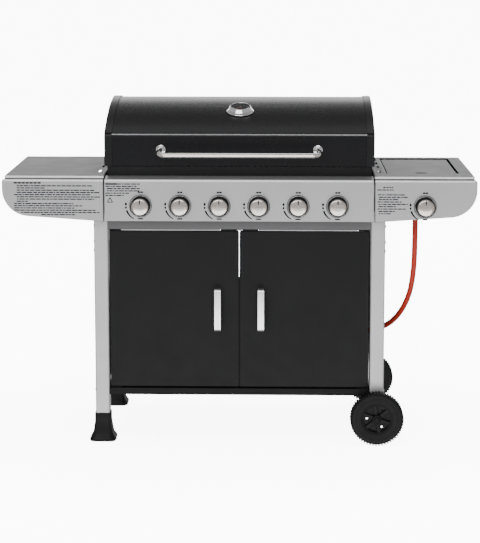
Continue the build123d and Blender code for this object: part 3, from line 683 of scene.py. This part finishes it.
def makeLidHandle(setup):
    path = roundCorners([(x * mm, at(depth), z * mm) for x, depth, z in setup["path"]], setup["bend"], 10)
    build(
        "lidHandleBar", [rod(path, setup["radius"], 28)], finishes["tubeSteel"], "lid",
        replaces=["lid_handle"],
    )
    washers = []
    for x, depth, z in (setup["path"][0], setup["path"][-1]):
        here = outward(x * mm, setup["washerDepth"], z * mm)
        washers.append(moved(lathe(inMetres(setup["washer"]), 48), here))
    build("lidHandleWashers", washers, finishes["chrome"], "lid", 0.0002)


makeLidHandle(barSetup)

# thermometer in the lid, in its own tilted frame
gaugeSetup = {
    "tilt": 16.436,
    "depth": 165,
    "height": 0.9343,
    "case": [
        (4, -46), (4, -8), (30, -8), (30, 0), (38.6, 0), (39, 0.5), (38.9, 1.6), (38, 3), (35.5, 5.4),
        (32.6, 9.6), (30.8, 13.4), (29.4, 15.9), (28.2, 16.9), (27, 17), (26.1, 16.5), (25.6, 15.4),
        (25.5, 9.6), (0, 9.6),
    ],
    "seals": [
        [(38.7, -0.4), (40.8, -0.4), (40.6, 1.2), (39.6, 1.9), (38.7, 1.6), (38.7, -0.4)],
        [(24.4, 10.3), (26.2, 16), (27.4, 17.2), (28, 17.3), (28, 16.8), (25.4, 10.3), (24.4, 10.3)],
    ],
    "dial": [(25.4, 9.7), (25.4, 10.2), (0, 10.2)],
    "ticks": 27,
    "longEvery": 5,
    "sweep": (225, -45),
    "tickStarts": (0.0205, 0.0185),  # short and long
    "tickEnd": 0.0235,
    "tickHalf": 0.0005,
    "tickHeights": (0.0101, 0.01045),
    "hand": [(2.2, 2.2), (-1.6, 1.6), (-15.4, -14.8), (-15.8, -15.8), (-14.8, -15.4), (1.6, -1.6)],
    "handHeights": (0.0116, 0.0126),
    "hub": [(1.6, 11.6), (3.6, 11.6), (3.6, 12.8), (1.6, 13)],
}


def makeGauge(setup):
    lean = math.radians(setup["tilt"])
    rise, run = math.sin(lean), math.cos(lean)
    tilted = Matrix(((1, 0, 0), (0, run, -rise), (0, rise, run)))
    here = Matrix.Translation((0, at(setup["depth"]), setup["height"])) @ tilted.to_4x4()
    case = moved(lathe(inMetres(setup["case"]), 80), here)
    build(
        "gaugeCase", [case], finishes["chrome"], "lid", smooth=40,
        replaces=["thermometer_case"],
    )
    seals = [moved(lathe(inMetres(profile), 80), here) for profile in setup["seals"]]
    build("gaugeSeals", seals, finishes["knobBlack"], "lid", smooth=40)
    dial = lathe(inMetres(setup["dial"]), 64)
    build("gaugeDial", [moved(dial, here)], finishes["dialFace"], "lid")
    marks = []
    first, last = setup["sweep"]
    half = setup["tickHalf"]
    for k in range(setup["ticks"]):
        turn = math.radians(first + (last - first) * k / (setup["ticks"] - 1))
        long = k % setup["longEvery"] == 0 or k == setup["ticks"] - 1
        low, high = setup["tickHeights"]
        tick = boxPart((setup["tickStarts"][long], -half, low), (setup["tickEnd"], half, high))
        marks.append(moved(moved(tick, Matrix.Rotation(turn, 4, "Z")), here))
    build("gaugeTicks", marks, finishes["dialMark"], "lid")
    hand = moved(prism(inMetres(setup["hand"]), "z", *setup["handHeights"]), here)
    hub = moved(lathe(inMetres(setup["hub"]), 24), here)
    build(
        "gaugeHand", [hand, hub], finishes["needlePaint"], "gauge_hand",
        replaces=["thermometer_needle"],
    )


makeGauge(gaugeSetup)

# a thin grey bead along the crease between the lid's band and its dome: a painted highlight on the crease
creaseSetup = {"depth": 40.4, "height": 881.2, "radius": 0.0019, "half": 0.3555}
creaseEnds = []
for side in (-1, 1):
    creaseEnds.append((side * creaseSetup["half"], at(creaseSetup["depth"]), creaseSetup["height"] * mm))
build("lidCreaseBead", [rod(creaseEnds, creaseSetup["radius"], 16)], finishes["creasePaintedHighlight"], "lid")
print("lid fittings made")

# door handles: one bent steel strip each
pullSetup = {
    "x": 0.061,
    "path": [(50, 328), (23, 322), (23, 448), (50, 442)],
    "bend": 0.009,
    "wide": 0.0185,
    "thick": 0.003,
}


def makePulls(setup):
    path = roundCorners([(at(depth), z * mm, 0) for depth, z in setup["path"]], setup["bend"], 8)
    outline = thicken([p.to_2d() for p in path], setup["thick"])
    for name, side in (("left", -1), ("right", 1)):
        x = side * setup["x"]
        strip = prism(outline, "x", x - setup["wide"] / 2, x + setup["wide"] / 2)
        build(
            name + "DoorPull", [strip], finishes["stripSteel"], name + "_door", 0.0008, 3,
            replaces=["door_handle_" + name],
        )


makePulls(pullSetup)

# a thin folded lip closes most of the gap between the doors
doorLip = {"gap": 0.0009, "reach": 0.003, "depths": (50.6, 52.4), "heights": (0.1605, 0.6045)}
for name, side in (("left", -1), ("right", 1)):
    ends = sorted((side * doorLip["gap"] / 2, side * doorLip["reach"]))
    lip = boxPart(
        (ends[0], at(doorLip["depths"][0]), doorLip["heights"][0]),
        (ends[1], at(doorLip["depths"][1]), doorLip["heights"][1]),
    )
    build(name + "DoorLip", [lip], finishes["doorBlack"], name + "_door", 0.0003)

# wheels: a lugged tyre on a spoked disc with three small holes
wheelSetup = {
    "x": 0.39,
    "z": 0.076,
    "depths": {"front": 21, "rear": 484},
    "lugs": 54,
    "lugRadii": (0.0725, 0.0759),
    "lugShare": 0.55,
    "lugRows": (0.0008, 0.0158),
    "tyre": [
        (42, 13), (43.2, 15), (46, 16), (56.5, 16.9), (57.3, 16.3), (59.2, 16.3), (60, 17.2), (67, 17.4),
        (70.6, 16.2), (73, 13), (73.6, 9), (73.6, -9), (73, -13), (70.6, -16.2), (67, -17.4), (60, -17.2),
        (46, -16), (43.2, -15), (42, -13), (42, 13),
    ],
    "hub": [
        (5.2, 18), (11.6, 18), (12.6, 17.2), (13.2, 14), (13.6, 0), (13.2, -14), (12.6, -17.2),
        (11.6, -18), (5.2, -18),
    ],
    "disc": [
        [(12, 2.5), (25.4, 2.5), (25.4, -2.5), (12, -2.5)],
        [(30.6, 2.5), (43, 2.5), (43, -2.5), (30.6, -2.5)],
    ],
    "rim": [(38.6, 12), (42.4, 13), (42.4, -13), (38.6, -12), (38.2, 0), (38.6, 12)],
    "discHalf": 0.0025,
    "webRadii": (0.0252, 0.0308),  # where the disc's three holes are
    "webTurns": (65, 175),
    "spokes": 6,
    "spokeStart": 40,
    "spokeLow": (0.011, -0.0045, -0.0105),
    "spokeHigh": (0.041, 0.0045, 0.0105),
    "cap": [(0, 0.2), (9.5, 0.2), (9.5, 1.6), (8.4, 3.6), (5, 5.2), (0, 5.8)],
    "capDepths": (3, 502),
    "rodDepths": (4, 501),
    "rodRadius": 0.005,
}


def arcPlate(inside, outside, start, end, low, high, steps=6):
    turns = [math.radians(start + (end - start) * k / steps) for k in range(steps + 1)]
    ring = [(outside * math.cos(t), outside * math.sin(t)) for t in turns]
    ring += [(inside * math.cos(t), inside * math.sin(t)) for t in turns[::-1]]
    return prism(ring, "z", low, high)


def tyreParts(setup):
    parts = [lathe(inMetres(setup["tyre"]), 108)]
    step = 360 / setup["lugs"]
    near, far = setup["lugRows"]
    for k in range(setup["lugs"]):
        for start, low, high in ((k * step, near, far), ((k + 0.5) * step, -far, -near)):
            end = start + step * setup["lugShare"]
            parts.append(arcPlate(*setup["lugRadii"], start, end, low, high, 2))
    return parts


def discParts(setup):
    parts = [lathe(inMetres(setup["hub"]), 40)]
    parts += [lathe(inMetres(profile), 72) for profile in setup["disc"]]
    parts.append(lathe(inMetres(setup["rim"]), 96))
    half = setup["discHalf"]
    start, end = setup["webTurns"]
    for turn in (0, 120, 240):
        parts.append(arcPlate(*setup["webRadii"], start + turn, end + turn, -half, half, 14))
    for k in range(setup["spokes"]):
        turn = math.radians(setup["spokeStart"] + 360 / setup["spokes"] * k)
        parts.append(moved(boxPart(setup["spokeLow"], setup["spokeHigh"]), Matrix.Rotation(turn, 4, "Z")))
    return parts


def makeWheels(setup):
    x, z = setup["x"], setup["z"]
    for name, depth in setup["depths"].items():
        here = outward(x, depth, z)
        body = name + "_wheel"
        tyre = [moved(p, here) for p in tyreParts(setup)]
        build(
            name + "Tyre", tyre, finishes["tyrePlastic"], body, 0.0006,
            replaces=["wheel_" + name],
        )
        disc = [moved(p, here) for p in discParts(setup)]
        build(name + "Spokes", disc, finishes["blackPlastic"], body, 0.0012, 3)
    caps = []
    for depth, direction in zip(setup["capDepths"], ((0, -1, 0), (0, 1, 0))):
        place = Vector((x, at(depth), z))
        caps.append(moved(lathe(inMetres(setup["cap"]), 36), facing(place, direction)))
    build("axleCaps", caps, finishes["blackPlastic"], "root")
    ends = [(x, at(depth), z) for depth in setup["rodDepths"]]
    build(
        "axleRod", [rod(ends, setup["rodRadius"], 24)], finishes["zinc"], "root",
        replaces=["wheel_axle"],
    )


makeWheels(wheelSetup)

# moulded feet: (height, width, corner) rings, the last two inside the sleeve
footSetup = {
    "x": -0.39,
    "depths": (65, 440),
    "rings": [
        (0, 73, 15), (1.2, 75, 16), (5, 75, 16), (7, 74, 15.5), (17.5, 60, 12), (19.5, 58.6, 11),
        (21, 57, 10), (54, 46.5, 7), (60, 46, 7), (78.8, 46, 7), (80, 45, 6.5), (80, 41, 4.6), (60, 41, 4.6),
    ],
}


def roundSquare(width, corner, z, steps=5):
    half = width / 2 - corner
    ring = []
    for k, (sideX, sideY) in enumerate(((1, 1), (-1, 1), (-1, -1), (1, -1))):
        for i in range(steps + 1):
            turn = math.pi / 2 * (k + i / steps)
            x = sideX * half + corner * math.cos(turn)
            y = sideY * half + corner * math.sin(turn)
            ring.append((x * mm, y * mm, z * mm))
    return ring


def makeFeet(setup):
    rows = [roundSquare(width, corner, z) for z, width, corner in setup["rings"]]
    n = len(rows[0])
    faces = []
    for k in range(len(rows) - 1):
        for i in range(n):
            j = (i + 1) % n
            faces.append((k * n + i, k * n + j, (k + 1) * n + j, (k + 1) * n + i))
    faces.append(tuple(range(n - 1, -1, -1)))
    parts = []
    for depth in setup["depths"]:
        verts = [(x + setup["x"], y + at(depth), z) for row in rows for x, y, z in row]
        parts.append((verts, faces))
    build(
        "footMouldings", parts, finishes["blackPlastic"], "root", smooth=28,
        replaces=["feet"],
    )


makeFeet(footSetup)

# dome-headed bolts on the outside of the legs
boltSetup = {
    "x": 0.41,
    "depths": (65, 440),
    "heights": (620, 575, 549, 145),
    "head": [(0, 0), (5, 0), (5, 0.8), (4.6, 1.8), (3.2, 2.7), (1.6, 2.95), (0, 3)],
}


def makeBolts(setup):
    heads = []
    for side in (-1, 1):
        for depth in setup["depths"]:
            for z in setup["heights"]:
                place = Vector((side * setup["x"], at(depth), z * mm))
                heads.append(moved(lathe(inMetres(setup["head"]), 24), facing(place, (side, 0, 0))))
    build("legBolts", heads, finishes["zinc"], "root", replaces=["frame_bolts"])


makeBolts(boltSetup)

# rolled edges in near-white paint, a painted highlight, as (depth, height): one over each fascia, and one
# along each fascia and the panel
edgeHighlightSetup = {
    "shelf": [(8, 763.4), (5.4, 763.4), (4.2, 764.2), (4.2, 767.6), (5.4, 769), (8, 769.4)],
    "shelfEnds": (0.3765, 0.6525),
    "fascia": [
        (5, 754.4), (-0.5, 754.4), (-1.1, 755.2), (-1.1, 756.6), (-0.2, 758.5), (1.6, 759.5), (5, 759.7),
    ],
    "fasciaEnds": (0.378, 0.652),
    "panelHalf": 0.3725,
}


def edgeStrip(outline, start, end):
    return prism([(at(depth), z * mm) for depth, z in outline], "x", start, end)


def makeEdges(setup):
    for name, side in (("left", -1), ("right", 1)):
        ends = sorted(side * x for x in setup["shelfEnds"])
        strip = edgeStrip(setup["shelf"], *ends)
        build(name + "ShelfRim", [strip], finishes["edgePaintedHighlight"], "root", 0.0008, 3)
        ends = sorted(side * x for x in setup["fasciaEnds"])
        strip = edgeStrip(setup["fascia"], *ends)
        build(name + "FasciaEdge", [strip], finishes["edgePaintedHighlight"], "root", 0.0004, 2)
    strip = edgeStrip(setup["fascia"], -setup["panelHalf"], setup["panelHalf"])
    build("panelEdge", [strip], finishes["edgePaintedHighlight"], "root", 0.0004, 2)


makeEdges(edgeHighlightSetup)

# pale lip under the front rail, between the hinge brackets and the catches
lipSetup = {
    "spans": ((-333, -54), (-7.5, 7.5), (54, 333)),
    "depths": (50.6, 53.5),
    "heights": (0.6086, 0.6112),
}


def makeRailLip(setup):
    parts = []
    low, high = setup["heights"]
    front, back = [at(depth) for depth in setup["depths"]]
    for start, end in setup["spans"]:
        parts.append(boxPart((start * mm, front, low), (end * mm, back, high)))
    build("railLip", parts, finishes["legSilver"], "root", 0.0005, 2)


makeRailLip(lipSetup)

# black plates behind the three rear vents of each shelf: painted shade seen through the vents
ventPaintedShadeSetup = {"x": (0.385, 0.407), "depths": (229, 312, 397), "heights": (0.757, 0.7683)}


def makeShades(setup):
    parts = []
    low, high = setup["heights"]
    for side in (-1, 1):
        inner, outer = sorted(side * x for x in setup["x"])
        for depth in setup["depths"]:
            parts.append(boxPart((inner, at(depth), low), (outer, at(depth + 1), high)))
    build("ventShades", parts, finishes["insideBlackAndShade"], "root", 0.0002)


makeShades(ventPaintedShadeSetup)

# side burner lid: a dished plate just below the shelf's top, with a flat black patch on it as the painted
# shade of a finger notch
sideLidSetup = {
    "x": (415.5, 609.5),
    "depths": (81, 385),
    "top": 0.7684,
    "thick": 0.0015,
    "skirtFoot": 0.7605,
    "skirtTop": 0.7672,
    "corner": 0.011,
    "hinges": (438, 567),
    "hingeLong": 20,
    "hingeDepth": 399,
    "hingeHeight": 0.765,
    "knuckleRadius": 0.004,
    "strapDepths": (384, 397),
    "strapHeights": (0.7625, 0.7665),
    "notchCentre": (0.511, 87),
    "notchHalf": (0.0165, 0.0105),
    "notchHeights": (0.768, 0.76855),
}


def roundedPlate(x, y, corner, low, high, steps=6):
    points = [(x[0], y[0], 0), (x[1], y[0], 0), (x[1], y[1], 0), (x[0], y[1], 0)]
    ring = roundCorners(points, corner, steps, closed=True)
    return prism([p.to_2d() for p in ring], "z", low, high)


def makeSideLid(setup):
    x = [v * mm for v in setup["x"]]
    y = [at(v) for v in setup["depths"]]
    plate = roundedPlate(x, y, setup["corner"], setup["top"] - setup["thick"], setup["top"])
    skirt = roundedPlate(x, y, setup["corner"], setup["skirtFoot"], setup["skirtTop"])
    build(
        "sideLidPlate", [plate], finishes["shelfGrey"], "side_lid", 0.0009, 3,
        replaces=["side_burner_lid"],
    )
    # black skirt under the plate: painted shade in the gap round the lid
    build("sideLidSkirt", [skirt], finishes["insideBlackAndShade"], "side_lid", 0.0006)
    # hinge knuckles in black: painted shade at the back of the recess
    knuckles = []
    front, back = [at(depth) for depth in setup["strapDepths"]]
    low, high = setup["strapHeights"]
    for hinge in setup["hinges"]:
        start, end = hinge * mm, (hinge + setup["hingeLong"]) * mm
        line = [(side, at(setup["hingeDepth"]), setup["hingeHeight"]) for side in (start, end)]
        knuckles.append(rod(line, setup["knuckleRadius"], 20))
        knuckles.append(boxPart((start, front, low), (end, back, high)))
    build("sideLidKnuckles", knuckles, finishes["insideBlackAndShade"], "side_lid", 0.0004)
    # a flat black patch on the plate: painted shade of the finger notch
    notch = []
    for k in range(32):
        turn = 2 * math.pi * k / 32
        across = setup["notchCentre"][0] + setup["notchHalf"][0] * math.cos(turn)
        deep = at(setup["notchCentre"][1]) + setup["notchHalf"][1] * math.sin(turn)
        notch.append((across, deep))
    build("sideLidNotch", [prism(notch, "z", *setup["notchHeights"])], finishes["notchPaintedShade"], "side_lid")


makeSideLid(sideLidSetup)
print("wheels, feet and shelves made")

studio = {
    "backdrop": 16.0,  # how white the camera sees it
    "low": 0.2,
    "horizon": 0.68,
    "high": 0.1,
    "floorGlow": 8.0,
    "floorLight": 9.0,
    "floorHalf": 70,
    "floorSpread": 75,
}
softboxes = [
    # name, place, aim, size and radiance
    ("topSoftbox", (0, 0.4, 3.2), (0, 0.1, 0.8), (3.4, 1.8), 1.2),
    ("keySoftbox", (-0.9, -4.2, 2.9), (0, 0, 0.6), (4.6, 1.9), 3.6),
    ("backCard", (0, 4.6, 1.7), (0, 0, 0.8), (8.0, 2.0), 1.9),
    ("lowCard", (0, -5.6, -2.4), (0, 0, 0.2), (6.0, 3.4), 3.2),  # stands for the bright floor in front
]


def areaLight(name, place, aim, size, radiance):
    lamp = bpy.data.lights.new(name, "AREA")
    lamp.shape = "RECTANGLE"
    lamp.size, lamp.size_y = size
    lamp.energy = radiance * math.pi * size[0] * size[1]
    light = bpy.data.objects.new(name, lamp)
    scene.collection.objects.link(light)
    light.location = place
    light.rotation_euler = (Vector(aim) - Vector(place)).to_track_quat("-Z", "Y").to_euler()


def setSky(setup):
    world = bpy.data.worlds.new("studio")
    scene.world = world
    world.use_nodes = True
    nodes, links = world.node_tree.nodes, world.node_tree.links
    glow = nodes["Background"]
    heights = nodes.new("ShaderNodeSeparateXYZ")
    links.new(nodes.new("ShaderNodeTexCoord").outputs["Generated"], heights.inputs["Vector"])
    ramp = nodes.new("ShaderNodeValToRGB")
    span = nodes.new("ShaderNodeMapRange")
    span.inputs["From Min"].default_value = -1
    links.new(heights.outputs["Z"], span.inputs["Value"])
    links.new(span.outputs["Result"], ramp.inputs["Fac"])
    ramp.color_ramp.elements.new(0.5)
    for stop, position, level in zip(ramp.color_ramp.elements, (0, 0.5, 1), ("low", "horizon", "high")):
        stop.position = position
        stop.color = (setup[level],) * 3 + (1,)
    links.new(ramp.outputs["Color"], glow.inputs["Color"])
    backdrop = nodes.new("ShaderNodeBackground")
    backdrop.inputs["Strength"].default_value = setup["backdrop"]
    mix = nodes.new("ShaderNodeMixShader")
    links.new(nodes.new("ShaderNodeLightPath").outputs["Is Camera Ray"], mix.inputs["Fac"])
    links.new(glow.outputs["Background"], mix.inputs[1])
    links.new(backdrop.outputs["Background"], mix.inputs[2])
    links.new(mix.outputs["Shader"], nodes["World Output"].inputs["Surface"])


def layFloor(setup):
    mesh = bpy.data.meshes.new("studioFloor")
    wide = setup["floorHalf"]
    corners = [(-wide, -wide, 0), (wide, -wide, 0), (wide, wide, 0), (-wide, wide, 0)]
    mesh.from_pydata(corners, [], [(0, 1, 2, 3)])
    floor = bpy.data.objects.new("studioFloor", mesh)
    shelf = bpy.data.collections.new("floorOnly")
    scene.collection.children.link(shelf)
    shelf.objects.link(floor)
    pale = Finish("paleFloor", (0.9, 0.9, 0.9), 0.9, specular=0.1)
    pale.tone(pale.noise(3, 2), 0.01)
    pale.shader.inputs["Emission Color"].default_value = (1, 1, 1, 1)
    pale.shader.inputs["Emission Strength"].default_value = setup["floorGlow"]
    mesh.materials.append(pale.material)
    floor.visible_diffuse = False
    floor.visible_glossy = False
    floor.visible_transmission = False
    floor.visible_shadow = False
    lamp = bpy.data.lights.new("floorSun", "SUN")
    lamp.energy = setup["floorLight"]
    lamp.angle = math.radians(setup["floorSpread"])
    sun = bpy.data.objects.new("floorSun", lamp)
    scene.collection.objects.link(sun)
    sun.light_linking.receiver_collection = shelf


setSky(studio)
layFloor(studio)
for box in softboxes:
    areaLight(*box)
print("studio lit")
